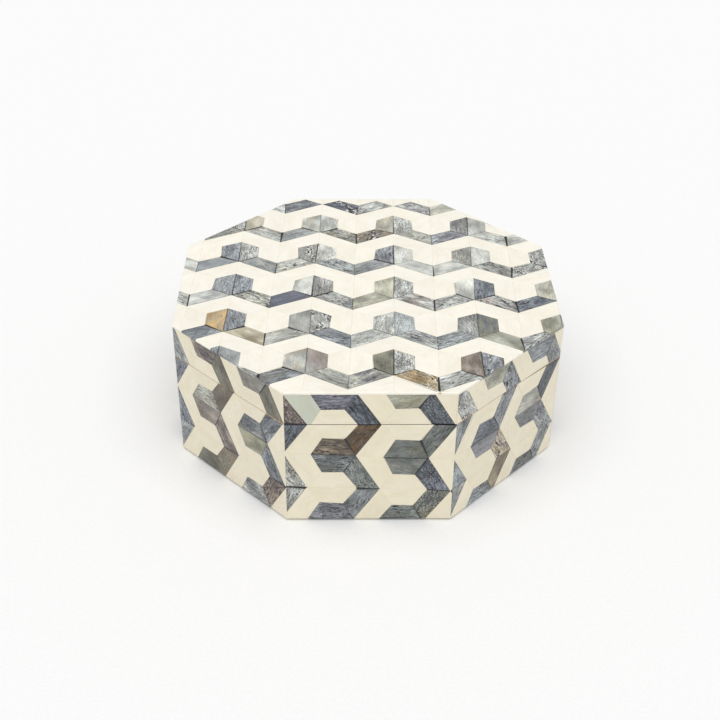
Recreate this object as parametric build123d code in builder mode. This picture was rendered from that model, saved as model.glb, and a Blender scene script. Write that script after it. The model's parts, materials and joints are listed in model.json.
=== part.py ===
from build123d import *

import os
from math import radians, tan

# An eight-sided wooden box with a hinged lid. Every outside face is a skin of thin bone tiles,
# laid as rows of dark hexagons that sit on dark zigzag bands, with the same shapes in ivory
# between them. Millimetres. +Z is up, the front faces -Y, and the origin is the middle of the
# face that the box rests on.

# Overall size
SIDES = 8
ACROSS_FLATS = 152.4
HEIGHT = 61.0
SEAM_HEIGHT = 46.5

# Thickness of each layer
FELT = 0.6
PANEL = 5.0
BOARD = 7.0
SIDE_INLAY = 2.0
TOP_INLAY = 1.0
LINING = 1.2

# Linings and felt, held back from the edges beside them
FELT_SETBACK = 2.2
LINING_CLEARANCE = 0.1
RIM_SHOWING = 3.0

# Tile pattern. A cell holds one dark hexagon, standing on the peak of a dark band that falls
# away to a valley on each side. Columns repeat across the bands, rows along the hexagons.
TOP_COLUMN_PITCH = 32.8
SIDE_COLUMN_PITCH = 31.4
ROW_PITCH = 27.0
HEXAGON_LENGTH = 17.3
HEXAGON_HALF_WIDTH = 8.05
HEXAGON_SHORT_EDGE = 8.5
BAND_WIDTH = 9.05
BAND_DROP = 9.4
TILE_JOINT = 0.2
SMALLEST_TILE_AREA = 3.0

# Where a peak stands on the lid's top, and on each side from its middle line and the floor. The
# sides are laid on the closed box, and the saw that frees the lid takes away part of the pattern.
TOP_PEAK = (11.6, 15.1)
TOP_TURN = -2.1
SIDE_PEAK = (-4.9, 31.6)
SIDE_TURN = 90.0
SAW_CUT = 1.8
TOP_GRID = (7, 9)
SIDE_GRID = (3, 5)

# Hinges, let into the rims at the back. Bevels along the back edges stop the lid past upright.
HINGE_SPACING = 34.0
HINGE_LENGTH = 18.0
HINGE_INSET = 1.5
BARREL_RADIUS = 1.45
PIN_RADIUS = 0.6
PIN_GRIP = 0.01
PIN_CLEARANCE = 0.05
MIDDLE_KNUCKLE = 6.0
KNUCKLE_GAP = 0.1
LEAF_WIDTH = 6.6
LEAF_THICKNESS = 0.9
LEAF_RECESS = 0.05
MORTISE_CLEARANCE = 0.15
BARREL_CLEARANCE = 0.3
BEVEL_ANGLE = 50.0

# Hinge screws
SCREW_SPACING = 10.0
SCREW_SETBACK = 4.2
SCREW_RADIUS = 0.75
SCREW_HEAD_RADIUS = 1.4
SCREW_LENGTH = 5.4
SCREW_POINT = 1.2
SCREW_POINT_TAPER = 25.0
COUNTERSINK_TAPER = 45.0
SCREW_CLEARANCE = 0.05
PILOT_DEPTH = 6.2
SLOT_WIDTH = 0.4
SLOT_DEPTH = 0.25

FACE_ANGLES = {
    "front": -90,
    "front_right": -45,
    "right": 0,
    "back_right": 45,
    "back": 90,
    "back_left": 135,
    "left": 180,
    "front_left": -135,
}
BEVELLED_FACES = ("back_right", "back", "back_left")

# Distances from the upright centre line to the flat faces
SKIN_APOTHEM = ACROSS_FLATS / 2
BOARD_APOTHEM = SKIN_APOTHEM - SIDE_INLAY
ROOM_APOTHEM = BOARD_APOTHEM - BOARD
HALF_CORNER = 180 / SIDES
CORNER_SLOPE = tan(radians(HALF_CORNER))

# Heights of the layers, from the floor up
FLOOR_TOP = FELT + PANEL
FLOOR_LINING_TOP = FLOOR_TOP + LINING
LID_PANEL_TOP = HEIGHT - TOP_INLAY
LID_PANEL_BOTTOM = LID_PANEL_TOP - PANEL

HINGE_AXIS_Y = SKIN_APOTHEM - HINGE_INSET
HINGE_CENTRES = {"left": -HINGE_SPACING / 2, "right": HINGE_SPACING / 2}


def finish(piece, name):
    """Names a finished piece and writes it to its own file."""
    piece.part.label = name
    export_step(piece.part, f"parts/{name}.step")


def octagon(apothem, mode=Mode.ADD):
    """Adds a regular octagon with a flat side facing front, or trims the sketch to one."""
    RegularPolygon(apothem, SIDES, major_radius=False, rotation=HALF_CORNER, mode=mode)


def wall_outline(angle, inner, outer):
    """Adds one side's share of an eight-sided ring, mitred at both ends."""
    Polygon(
        (inner, -inner * CORNER_SLOPE),
        (outer, -outer * CORNER_SLOPE),
        (outer, outer * CORNER_SLOPE),
        (inner, inner * CORNER_SLOPE),
        rotation=angle,
        align=None,
    )


def octagon_plate(name, apothem, bottom, thickness):
    """A flat panel or lining that covers the whole octagon."""
    with BuildPart() as plate:
        with BuildSketch(Plane.XY.offset(bottom)):
            octagon(apothem)
        extrude(amount=thickness)
    finish(plate, name)


# ---------------------------------------------------------------- hinges


def mortise(centre_x, up):
    """Cuts the recess for one hinge leaf and barrel into the rim above or below the seam."""
    length = HINGE_LENGTH + 2 * MORTISE_CLEARANCE
    leaf_depth = LEAF_THICKNESS + LEAF_RECESS + MORTISE_CLEARANCE
    leaf_width = LEAF_WIDTH + MORTISE_CLEARANCE
    barrel_depth = BARREL_RADIUS + BARREL_CLEARANCE
    with BuildSketch(Plane.XY.offset(SEAM_HEIGHT)) as leaf_recess:
        with Locations((centre_x, HINGE_AXIS_Y - leaf_width / 2)):
            Rectangle(length, leaf_width)
    extrude(leaf_recess.sketch, amount=up * leaf_depth, mode=Mode.SUBTRACT)
    with BuildSketch(Plane.XY.offset(SEAM_HEIGHT)) as barrel_recess:
        with Locations((centre_x, HINGE_AXIS_Y - barrel_depth)):
            Rectangle(length, barrel_depth + 2 * HINGE_INSET, align=(Align.CENTER, Align.MIN))
    extrude(barrel_recess.sketch, amount=up * barrel_depth, mode=Mode.SUBTRACT)


def screw_places(centre_x):
    """Locations of a leaf's two screws, in plan."""
    return Locations(
        (centre_x - SCREW_SPACING / 2, HINGE_AXIS_Y - SCREW_SETBACK),
        (centre_x + SCREW_SPACING / 2, HINGE_AXIS_Y - SCREW_SETBACK),
    )


def pilot_holes(centre_x, up):
    """Cuts the holes for a leaf's two screws into the rim."""
    with BuildSketch(Plane.XY.offset(SEAM_HEIGHT)) as holes:
        with screw_places(centre_x):
            Circle(SCREW_RADIUS + SCREW_CLEARANCE)
    extrude(holes.sketch, amount=up * PILOT_DEPTH, mode=Mode.SUBTRACT)


def back_bevel():
    """Cuts the groove along the back edges, whose two faces meet when the lid is open."""
    reach = 2 * HINGE_INSET
    with BuildSketch(Plane.YZ.offset(-SKIN_APOTHEM)) as groove:
        Polygon(
            (HINGE_AXIS_Y, SEAM_HEIGHT),
            (HINGE_AXIS_Y + reach, SEAM_HEIGHT - reach * tan(radians(BEVEL_ANGLE))),
            (HINGE_AXIS_Y + reach, SEAM_HEIGHT + reach * tan(radians(BEVEL_ANGLE))),
            align=None,
        )
    extrude(groove.sketch, amount=ACROSS_FLATS, mode=Mode.SUBTRACT)


def knuckle(centre_x, start, end, bore_radius):
    """Adds one knuckle of the barrel, bored for the pin, between two distances from centre_x."""
    with BuildSketch(Plane.YZ.offset(centre_x + start)) as outside:
        with Locations((HINGE_AXIS_Y, SEAM_HEIGHT)):
            Circle(BARREL_RADIUS)
    extrude(outside.sketch, amount=end - start)
    with BuildSketch(Plane.YZ.offset(centre_x + start)) as bore:
        with Locations((HINGE_AXIS_Y, SEAM_HEIGHT)):
            Circle(bore_radius)
    extrude(bore.sketch, amount=end - start, mode=Mode.SUBTRACT)


def leaf_plate(centre_x, up, notch_centres, notch_length):
    """Adds a leaf's plate, notched where the other leaf's knuckles turn, with its screw holes."""
    face = SEAM_HEIGHT + up * LEAF_RECESS
    hole_radius = SCREW_RADIUS + SCREW_CLEARANCE
    sink_radius = SCREW_HEAD_RADIUS + 2 * SCREW_CLEARANCE
    notch_depth = BARREL_RADIUS + BARREL_CLEARANCE
    with BuildSketch(Plane.XY.offset(face)) as plate:
        with Locations((centre_x, HINGE_AXIS_Y)):
            Rectangle(HINGE_LENGTH, LEAF_WIDTH, align=(Align.CENTER, Align.MAX))
        with Locations(*[(centre_x + offset, HINGE_AXIS_Y) for offset in notch_centres]):
            Rectangle(
                notch_length, notch_depth, align=(Align.CENTER, Align.MAX), mode=Mode.SUBTRACT
            )
        with screw_places(centre_x):
            Circle(hole_radius, mode=Mode.SUBTRACT)
    extrude(plate.sketch, amount=up * LEAF_THICKNESS)
    with BuildSketch(Plane.XY.offset(face)) as sinks:
        with screw_places(centre_x):
            Circle(sink_radius)
    sink_depth = up * (sink_radius - hole_radius)
    extrude(sinks.sketch, amount=sink_depth, taper=COUNTERSINK_TAPER, mode=Mode.SUBTRACT)


def base_leaf(side, centre_x):
    """The leaf that is screwed to the base's rim. It holds the two end knuckles and the pin."""
    half = HINGE_LENGTH / 2
    inner = MIDDLE_KNUCKLE / 2 + KNUCKLE_GAP / 2
    with BuildPart() as leaf:
        leaf_plate(centre_x, -1, [0], MIDDLE_KNUCKLE + KNUCKLE_GAP)
        knuckle(centre_x, -half, -inner, PIN_RADIUS + PIN_GRIP)
        knuckle(centre_x, inner, half, PIN_RADIUS + PIN_GRIP)
    finish(leaf, f"hinge_base_leaf_{side}")


def lid_leaf(side, centre_x):
    """The leaf that is screwed to the lid's rim. Its one knuckle turns on the pin."""
    half = HINGE_LENGTH / 2
    inner = MIDDLE_KNUCKLE / 2 - KNUCKLE_GAP / 2
    notch_centre = (half + inner) / 2
    with BuildPart() as leaf:
        leaf_plate(centre_x, 1, [-notch_centre, notch_centre], half - inner)
        knuckle(centre_x, -inner, inner, PIN_RADIUS + PIN_CLEARANCE)
    finish(leaf, f"hinge_lid_leaf_{side}")


def hinge_pin(side, centre_x):
    """The pin that one hinge turns on, chamfered at both ends."""
    with BuildPart() as pin:
        with BuildSketch(Plane.YZ.offset(centre_x - HINGE_LENGTH / 2)):
            with Locations((HINGE_AXIS_Y, SEAM_HEIGHT)):
                Circle(PIN_RADIUS)
        extrude(amount=HINGE_LENGTH)
        chamfer(pin.edges().filter_by(GeomType.CIRCLE), length=PIN_RADIUS / 4)
    finish(pin, f"hinge_pin_{side}")


def hinge_screws(name, up):
    """The four countersunk wood screws of one side of the seam."""
    head = SEAM_HEIGHT + up * (LEAF_RECESS + SCREW_CLEARANCE)
    with BuildPart() as screws:
        for centre_x in HINGE_CENTRES.values():
            with BuildSketch(Plane.XY.offset(head)):
                with screw_places(centre_x):
                    Circle(SCREW_HEAD_RADIUS)
            extrude(amount=up * (SCREW_HEAD_RADIUS - SCREW_RADIUS), taper=COUNTERSINK_TAPER)
            with BuildSketch(Plane.XY.offset(head)):
                with screw_places(centre_x):
                    Circle(SCREW_RADIUS)
            extrude(amount=up * (SCREW_LENGTH - SCREW_POINT))
            with BuildSketch(Plane.XY.offset(head + up * (SCREW_LENGTH - SCREW_POINT))):
                with screw_places(centre_x):
                    Circle(SCREW_RADIUS)
            extrude(amount=up * SCREW_POINT, taper=SCREW_POINT_TAPER)
            with BuildSketch(Plane.XY.offset(head)):
                with screw_places(centre_x):
                    Rectangle(2 * SCREW_HEAD_RADIUS, SLOT_WIDTH)
            extrude(amount=up * SLOT_DEPTH, mode=Mode.SUBTRACT)
    finish(screws, name)


# ---------------------------------------------------------------- wooden carcase


def board(name, angle, bottom, top):
    """One mitred board of the base's walls or the lid's skirt."""
    with BuildPart() as piece:
        with BuildSketch(Plane.XY.offset(bottom)):
            wall_outline(angle, ROOM_APOTHEM, BOARD_APOTHEM)
        extrude(amount=top - bottom)
        if angle == FACE_ANGLES["back"]:
            up = -1 if top == SEAM_HEIGHT else 1
            for centre_x in HINGE_CENTRES.values():
                mortise(centre_x, up)
                pilot_holes(centre_x, up)
    finish(piece, name)


def wall_lining():
    """Eight velvet-covered strips that line the base's walls, below the bare rim."""
    with BuildPart() as strips:
        with BuildSketch(Plane.XY.offset(FLOOR_LINING_TOP)):
            for angle in FACE_ANGLES.values():
                wall_outline(angle, ROOM_APOTHEM - LINING, ROOM_APOTHEM)
        extrude(amount=SEAM_HEIGHT - RIM_SHOWING - FLOOR_LINING_TOP)
    finish(strips, "base_wall_lining")


# ---------------------------------------------------------------- bone tiles


def right_hand_tiles(column_pitch):
    """Corners of the tiles on the right of a peak, with the peak's lowest point at the origin."""
    valley = column_pitch / 2
    side = HEXAGON_HALF_WIDTH
    low = (HEXAGON_LENGTH - HEXAGON_SHORT_EDGE) / 2
    high = low + HEXAGON_SHORT_EDGE
    sill = BAND_WIDTH - BAND_DROP
    roof = ROW_PITCH - BAND_DROP
    return {
        "slate": [
            [(0, 0), (side, low), (side, high), (0, HEXAGON_LENGTH)],
            [(0, 0), (valley, -BAND_DROP), (valley, sill), (side, low)],
        ],
        "ivory": [
            [(valley, sill), (valley, roof), (side, high), (side, low)],
            [(0, HEXAGON_LENGTH), (side, high), (valley, roof), (0, ROW_PITCH)],
        ],
    }


def cell_tiles(column_pitch, shade):
    """The tiles of one shade around a peak, each drawn in by half a joint."""
    tiles = []
    for corners in right_hand_tiles(column_pitch)[shade]:
        tile = Polygon(*corners, align=None)
        tile = offset(tile, amount=-TILE_JOINT / 2, kind=Kind.INTERSECTION)
        tiles += [tile, mirror(tile, about=Plane.YZ)]
    return tiles


TOP_TILES = {shade: cell_tiles(TOP_COLUMN_PITCH, shade) for shade in ("ivory", "slate")}
SIDE_TILES = {shade: cell_tiles(SIDE_COLUMN_PITCH, shade) for shade in ("ivory", "slate")}


def lay_tiles(tiles, peak, turn, column_pitch, grid):
    """Adds a field of tiles around one peak."""
    with Locations(Location((*peak, 0), (0, 0, turn))):
        with GridLocations(column_pitch, ROW_PITCH, *grid):
            add(tiles)


def side_plane(angle):
    """A plane on one outside face, its X to the right as seen from outside and its Y up."""
    turn = Location((0, 0, 0), (0, 0, angle))
    return Plane(turn * Plane.YZ.offset(SKIN_APOTHEM).location)


def whole_tiles(sketch):
    """The tiles of a sketch that are worth cutting, without the slivers along its outline."""
    return [tile for tile in sketch.faces() if tile.area > SMALLEST_TILE_AREA]


def side_field(angle, shade, bottom, top):
    """The tiles of one shade on one side, between two heights, trimmed to its mitres."""
    width = 2 * SKIN_APOTHEM * CORNER_SLOPE
    across, up = SIDE_PEAK
    peak = (across, up - SAW_CUT) if bottom == SEAM_HEIGHT else (across, up)
    with BuildPart() as field:
        with BuildSketch(side_plane(angle), mode=Mode.PRIVATE) as layout:
            lay_tiles(SIDE_TILES[shade], peak, SIDE_TURN, SIDE_COLUMN_PITCH, SIDE_GRID)
            with Locations((0, bottom + TILE_JOINT / 2)):
                Rectangle(
                    width - TILE_JOINT,
                    top - bottom - TILE_JOINT,
                    align=(Align.CENTER, Align.MIN),
                    mode=Mode.INTERSECT,
                )
        extrude(to_extrude=whole_tiles(layout.sketch), amount=-SIDE_INLAY)
        with BuildSketch(Plane.XY):
            wall_outline(angle, BOARD_APOTHEM, SKIN_APOTHEM)
        extrude(amount=HEIGHT, mode=Mode.INTERSECT)
    return field.part


def side_inlay(name, faces, shade, bottom, top):
    """The tiles of one shade on some sides, cut back at the hinges and along the back bevel."""
    fields = [side_field(FACE_ANGLES[face], shade, bottom, top) for face in faces]
    with BuildPart() as inlay:
        add(fields)
        if "back" in faces:
            for centre_x in HINGE_CENTRES.values():
                mortise(centre_x, 1)
                mortise(centre_x, -1)
        if any(face in BEVELLED_FACES for face in faces):
            back_bevel()
    finish(inlay, name)


def lid_top_inlay(shade):
    """The tiles of one shade on the lid's top. They cover the upper ends of the side tiles."""
    with BuildPart() as inlay:
        with BuildSketch(Plane.XY.offset(HEIGHT), mode=Mode.PRIVATE) as layout:
            lay_tiles(TOP_TILES[shade], TOP_PEAK, TOP_TURN, TOP_COLUMN_PITCH, TOP_GRID)
            octagon(SKIN_APOTHEM - TILE_JOINT / 2, Mode.INTERSECT)
        extrude(to_extrude=whole_tiles(layout.sketch), amount=-TOP_INLAY)
    finish(inlay, f"lid_top_inlay_{shade}")


# ---------------------------------------------------------------- the box

os.makedirs("parts", exist_ok=True)

octagon_plate("under_felt", BOARD_APOTHEM - FELT_SETBACK, 0, FELT)
octagon_plate("base_panel", BOARD_APOTHEM, FELT, PANEL)
octagon_plate("base_floor_lining", ROOM_APOTHEM - LINING_CLEARANCE, FLOOR_TOP, LINING)
wall_lining()
octagon_plate("lid_panel", BOARD_APOTHEM, LID_PANEL_BOTTOM, PANEL)
octagon_plate("lid_lining", ROOM_APOTHEM - LINING_CLEARANCE, LID_PANEL_BOTTOM - LINING, LINING)

for face, angle in FACE_ANGLES.items():
    board(f"base_wall_{face}", angle, FLOOR_TOP, SEAM_HEIGHT)
    board(f"lid_skirt_{face}", angle, SEAM_HEIGHT, LID_PANEL_BOTTOM)

for side, centre_x in HINGE_CENTRES.items():
    base_leaf(side, centre_x)
    lid_leaf(side, centre_x)
    hinge_pin(side, centre_x)
hinge_screws("hinge_screws_base", -1)
hinge_screws("hinge_screws_lid", 1)

for shade in ("ivory", "slate"):
    for face in FACE_ANGLES:
        side_inlay(f"base_inlay_{shade}_{face}", [face], shade, FELT, SEAM_HEIGHT)
    side_inlay(f"lid_skirt_inlay_{shade}", FACE_ANGLES, shade, SEAM_HEIGHT, LID_PANEL_TOP)
    lid_top_inlay(shade)
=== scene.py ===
import json
import math
import random

import bmesh
import bpy
from mathutils import Matrix, Vector, noise


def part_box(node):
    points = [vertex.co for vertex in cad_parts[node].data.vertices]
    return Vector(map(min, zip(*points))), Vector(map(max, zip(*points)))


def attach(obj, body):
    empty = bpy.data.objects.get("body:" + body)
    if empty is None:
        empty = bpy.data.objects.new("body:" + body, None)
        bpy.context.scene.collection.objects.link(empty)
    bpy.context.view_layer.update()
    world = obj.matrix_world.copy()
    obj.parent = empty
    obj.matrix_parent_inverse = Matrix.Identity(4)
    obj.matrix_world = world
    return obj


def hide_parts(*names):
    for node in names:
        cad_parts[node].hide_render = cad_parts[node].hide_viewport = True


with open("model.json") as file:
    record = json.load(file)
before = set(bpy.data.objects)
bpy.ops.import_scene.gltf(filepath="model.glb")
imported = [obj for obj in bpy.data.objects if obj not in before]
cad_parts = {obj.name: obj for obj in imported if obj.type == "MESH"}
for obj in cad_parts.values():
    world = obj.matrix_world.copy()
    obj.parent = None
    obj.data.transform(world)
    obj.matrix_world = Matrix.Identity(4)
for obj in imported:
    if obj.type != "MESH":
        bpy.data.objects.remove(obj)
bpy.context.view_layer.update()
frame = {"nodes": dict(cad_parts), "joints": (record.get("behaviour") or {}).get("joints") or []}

# The octagonal inlaid box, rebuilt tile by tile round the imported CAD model. Metres throughout,
# except where a name ends in _MM: the grain of each tile is drawn in millimetres.

MM = 0.001

# Where the CAD model has its layers. Its tiles stop half a joint short of each corner.
HALF_TILE_JOINT = 0.1 * MM
HALF_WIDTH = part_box("lid_top_inlay_slate")[1].x + HALF_TILE_JOINT
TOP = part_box("lid_top_inlay_slate")[1].z
SKIRT_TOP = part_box("lid_panel")[1].z
FELT_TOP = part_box("under_felt")[1].z
TOP_INLAY = TOP - SKIRT_TOP
SIDE_INLAY = HALF_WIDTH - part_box("lid_panel")[1].x
HINGE = next(joint for joint in frame["joints"] if joint["name"] == "lid_hinge")
AXIS_Y = HINGE["pos_m"][1]
SEAM = HINGE["pos_m"][2]
SIDES = 8
HALF_CORNER = math.radians(180 / SIDES)
SIDE_WIDTH = 2 * HALF_WIDTH * math.tan(HALF_CORNER)

FACE_ANGLES = {
    "front": -90,
    "front_right": -45,
    "right": 0,
    "back_right": 45,
    "back": 90,
    "back_left": 135,
    "left": 180,
    "front_left": -135,
}
BEVELLED_FACES = ("back_right", "back", "back_left")

# Tile pattern. A cell holds one dark hexagon on the peak of a dark band that falls away to a
# valley on each side. Columns repeat across the bands, rows along the hexagons.
TOP_COLUMN_PITCH = 32.8 * MM
SIDE_COLUMN_PITCH = 31.4 * MM
ROW_PITCH = 27.0 * MM
HEXAGON_LENGTH = 17.3 * MM
HEXAGON_HALF_WIDTH = 8.05 * MM
HEXAGON_SHORT_EDGE = 8.5 * MM
BAND_WIDTH = 9.05 * MM
BAND_DROP = 9.4 * MM
TOP_REACH = (3, 4)
SIDE_REACH = (1, 2)

# Where the middle peak of each face lies and how far its pattern leans, in millimetres and
# degrees. The bands run across the top and up the sides.
TOP_PEAK_MM = (11.6, 15.1)
TOP_LEAN = -2.1
SIDE_PEAK_MM = (-4.9, 31.6)
SIDE_LEAN = 90

# The sides were laid on the closed box, and the saw that freed the lid took this much away. These
# sides of the base and of the skirt are also a little out: across, up, and in lean.
SAW_CUT_MM = 1.8
BASE_ERRORS = {
    "front": (-0.1, 0.3, -2.2),
    "front_left": (0.2, 0.6, 0.0),
    "front_right": (-0.3, -0.8, -0.8),
    "left": (0.4, 0.0, 1.1),
    "right": (-0.2, 0.3, -0.8),
}
SKIRT_ERRORS = {
    "front": (0.1, 0.2, 0.6),
    "front_left": (0.5, 0.3, -0.8),
    "front_right": (2.3, -0.6, -3.0),
    "left": (0.7, -0.2, 0.6),
    "right": (-0.5, 0.1, -1.2),
}

# How the tiles were cut and laid by hand. A corner's place is rounded to a step of its cell and
# shifted off the cell's rim, so that every tile that shares the corner moves it the same way.
WOBBLE = 0.34 * MM
WOBBLE_CELL = 1.7 * MM
WOBBLE_STEPS = 50
WOBBLE_SHIFT = 0.37
SMALLEST_AREA = 0.3 * MM * MM
SMALLEST_DARK_AREA = 4.5 * MM * MM
SHORTEST_EDGE = 0.25 * MM
LEAST_TURN = 0.05
HAIRLINE = 0.028 * MM
RIM_INSET = 0.015 * MM
TILE_BEVEL = 0.025 * MM
RESIN_DEPTH = 0.035 * MM
EDGE_BAND = 0.55 * MM
JOINT_CELL = 0.9 * MM
SAME_SPOT = 1e-8

# Corners drawn back from a joint, in millimetres, least and most: any corner, and the few beside
# black resin that leave a wedge of it showing; beside the front seam the black is painted shadow
CORNER_PULL_MM = (0.0, 0.08)
WEDGE_PULL_MM = (0.3, 1.0)
WEDGE_SHARE = 0.16

# Joints between two dark tiles: how many are filled with black resin, and the least and most
# half width of the resin in millimetres. "seat" is where a hexagon sits on its band.
DARK_JOINTS = {
    "valley": (0.85, 0.13, 0.3),
    "split": (0.6, 0.04, 0.15),
    "seat": (0.6, 0.05, 0.18),
}
# The seam: half its gap, and the band of painted seam shadow that each tile shows along it
SEAM_GAP = 0.05 * MM
SEAM_SHADE_BAND = 0.13 * MM
SEAM_SHADE_BANDS = {"slate": SEAM_SHADE_BAND, "ivory": 0.6 * SEAM_SHADE_BAND}

# Rounding of the box's own edges after polishing, as (radius, turn from the face to the edge's
# middle or end), and where a rounding is cut into facets, from the edge inwards
RIGHT_ANGLE = math.radians(90)
ROUNDINGS = {
    "top": (0.5 * MM, RIGHT_ANGLE),
    "corner": (1.7 * MM, HALF_CORNER),
    "foot": (0.6 * MM, RIGHT_ANGLE),
    "seam": (0.22 * MM, RIGHT_ANGLE),
}
ROUNDING_STEPS = (0.06, 0.2, 0.42, 0.7, 1.0)

# Recesses for the hinges in the back
HINGE_CENTRES = (-17.0 * MM, 17.0 * MM)
HINGE_RECESS_HALF_LENGTH = 9.15 * MM
HINGE_RECESS_HALF_HEIGHT = 1.75 * MM
BEVEL_ANGLE = math.radians(50)


def linear(red, green, blue):
    """A linear colour from the 0 to 255 values seen on a screen."""
    def channel(value):
        value /= 255
        return value / 12.92 if value <= 0.04045 else ((value + 0.055) / 1.055) ** 2.4
    return (channel(red), channel(green), channel(blue), 1.0)


# Tones of dyed bone and horn, as seen on a screen
SCREEN_TONES = {
    "white": (209, 211, 203),
    "pale": (198, 200, 194),
    "silver": (183, 185, 180),
    "lichen": (196, 197, 180),
    "sage": (173, 174, 163),
    "mist": (166, 171, 171),
    "stone": (160, 161, 156),
    "blue": (150, 157, 161),
    "slate": (141, 145, 148),
    "steel": (130, 137, 143),
    "plum": (128, 126, 136),
    "indigo": (108, 112, 124),
    "shale": (114, 119, 115),
    "navy": (97, 103, 111),
    "coal": (82, 87, 92),
    "olive": (157, 156, 140),
    "khaki": (148, 146, 124),
    "moss": (122, 122, 108),
    "beige": (192, 187, 167),
    "sand": (173, 161, 134),
    "orange": (196, 162, 112),
    "mauve": (150, 141, 134),
    "brown": (134, 121, 104),
    "wine": (119, 106, 102),
    "umber": (102, 94, 83),
    "rust": (122, 92, 55),
}
TONES = {name: linear(*shade) for name, shade in SCREEN_TONES.items()}
COMMON_TONES = (
    ("silver", 5), ("mist", 5), ("stone", 5), ("blue", 5), ("pale", 4), ("slate", 4), ("sage", 3),
    ("steel", 3), ("olive", 2), ("beige", 1), ("mauve", 1), ("plum", 1), ("brown", 1), ("indigo", 1),
    ("lichen", 1),
)
COMMON_SIDE_TONES = (
    ("shale", 5), ("slate", 4), ("steel", 4), ("navy", 3), ("moss", 3), ("stone", 2), ("plum", 2),
    ("wine", 2), ("khaki", 2), ("mauve", 1), ("coal", 1), ("umber", 1), ("brown", 1),
)
# One ivory painted in two lights: whiter on the top, darker and yellower on the sides
TOP_IVORY_PAINTED_LIGHT = linear(252, 248, 237)
SIDE_IVORY_PAINTED_SHADE = linear(240, 232, 210)
GREEN_IVORY = linear(204, 208, 194)
GREEN_TILE = ("front", (0, 1, "band_left"))

# The tiles that show from the front, as "hexagon-left hexagon-right band-left band-right" for
# each peak. Keys are (row, column) from the middle peak; "-" leaves the tone to chance. A second
# tone after a slash clouds the first. Marks after the tones say how a tile was cut: ":" across
# the bone, which shows its pores, "~" plain, with hardly any grain, and "!" chipped, black and
# white. A few tiles of the dark pattern were made in "ivory".
HAND_LAID = {
    "top": {
        (2, -2): "- - - pale",
        (2, -1): "ivory ivory slate/navy: indigo/navy!",
        (2, 0): "ivory ivory pale: silver/plum",
        (2, 1): "- - lichen~ -",
        (1, -3): "- - - mist",
        (1, -2): "stone: beige~ sage: pale",
        (1, -1): "silver/beige~ pale~ mist stone/olive",
        (1, 0): "beige/silver~ pale: brown/stone! sage:",
        (1, 1): "stone: silver:~ mist/plum pale",
        (1, 2): "- - pale: -",
        (0, -3): "- - - white~",
        (0, -2): "blue/plum: silver: blue/mist~ stone/blue",
        (0, -1): "stone:! white~ sage/silver mist",
        (0, 0): "slate/plum pale~ slate/olive silver/pale~",
        (0, 1): "sage: pale:~ pale/white~ stone",
        (0, 2): "stone:! - silver:! -",
        (-1, -3): "- - - pale",
        (-1, -2): "slate: blue: pale~ sage",
        (-1, -1): "pale~ stone indigo~ stone",
        (-1, 0): "lichen/beige~ silver: olive/sage silver/mauve",
        (-1, 1): "white~ steel silver stone/mauve",
        (-1, 2): "sage/beige~ - steel/indigo -",
        (-2, -2): "orange/sand~ slate slate/steel beige/sand~",
        (-2, -1): "stone~ stone:! sage/silver slate/blue",
        (-2, 0): "pale: mist: pale: silver/mist",
        (-2, 1): "stone: moss/navy~ mist sage/khaki~",
        (-2, 2): "olive/sage~ - silver/slate:! -",
        (-3, -2): "- mist~ - silver",
        (-3, -1): "silver/beige~ mauve/stone~ slate/stone sage/silver",
        (-3, 0): "moss/olive~ silver: sage/plum sand/orange!",
        (-3, 1): "mauve/brown~ slate/indigo:! silver/mist -",
    },
    "front": {
        (1, 1): "- - wine/umber: -",
        (0, 1): "plum/navy - coal/navy -",
        (-1, 1): "khaki/sage~ - coal/navy: -",
        (1, 0): "- - sage/silver: navy",
        (0, 0): "shale/slate umber/brown shale: rust/umber",
        (-1, 0): "shale~ shale/moss~ navy/indigo: shale",
        (1, -1): "- - - silver/slate:",
        (0, -1): "- slate/plum - slate/shale",
        (-1, -1): "- shale - shale/khaki:",
    },
    "front_left": {
        (1, 1): "- - mist/stone -",
        (0, 1): "wine/mauve - moss/umber~ -",
        (-1, 1): "mauve/sage~ - moss/umber~ -",
        (1, 0): "- - steel/navy: indigo/slate",
        (0, 0): "mauve/brown~ sage/olive wine/mauve umber/brown~",
        (-1, 0): "khaki/olive~ navy/stone: steel slate/navy",
        (1, -1): "- - - slate/mist",
        (0, -1): "- moss/umber~ - brown/moss~",
        (-1, -1): "- slate/silver: - brown/wine",
    },
    "front_right": {
        (1, 1): "- - stone/pale:! -",
        (0, 1): "sage/khaki~ - slate -",
        (-1, 1): "slate/blue - slate/stone -",
        (1, 0): "- - steel/blue: slate",
        (0, 0): "slate/plum~ navy sand/mauve slate",
        (-1, 0): "shale/plum~ sage/mauve~ slate/stone coal/navy",
        (1, -1): "- - - slate/olive",
        (0, -1): "- steel: - brown/sand~",
        (-1, -1): "- shale/slate - slate/mist",
    },
}
PIECES = ("hexagon_left", "hexagon_right", "band_left", "band_right")

# How strongly the grain of the dark tiles shows, least and most, and what changes it
TOP_CONTRAST = (0.5, 1.15)
SIDE_CONTRAST = (0.75, 1.4)
POROUS_CONTRAST_GAIN = 0.15
PLAIN_CONTRAST_SHARE = 0.35

# How much lighter than its tone a dark tile may come out, least and most. On the top most of it
# is painted glare of the overhead light on the lacquer.
TOP_GAIN_WITH_PAINTED_GLARE = (1.1, 1.2)
SIDE_GAIN = (0.96, 1.04)

# How many of the dark tiles that the list leaves to chance are cut in each way, and how strongly
# the second tone of a tile clouds the first: one that is named, or one left to chance
POROUS_SHARE = 0.3
CHIPPED_SHARE = 0.05
PLAIN_SHARE = 0.25
NAMED_VEIN = 0.8
CHANCE_VEIN = 0.3

# How open the pores are in a dark tile cut across the bone, and at most in an ivory one
DARK_PORES = 0.9
IVORY_PORES = 0.15

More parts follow.
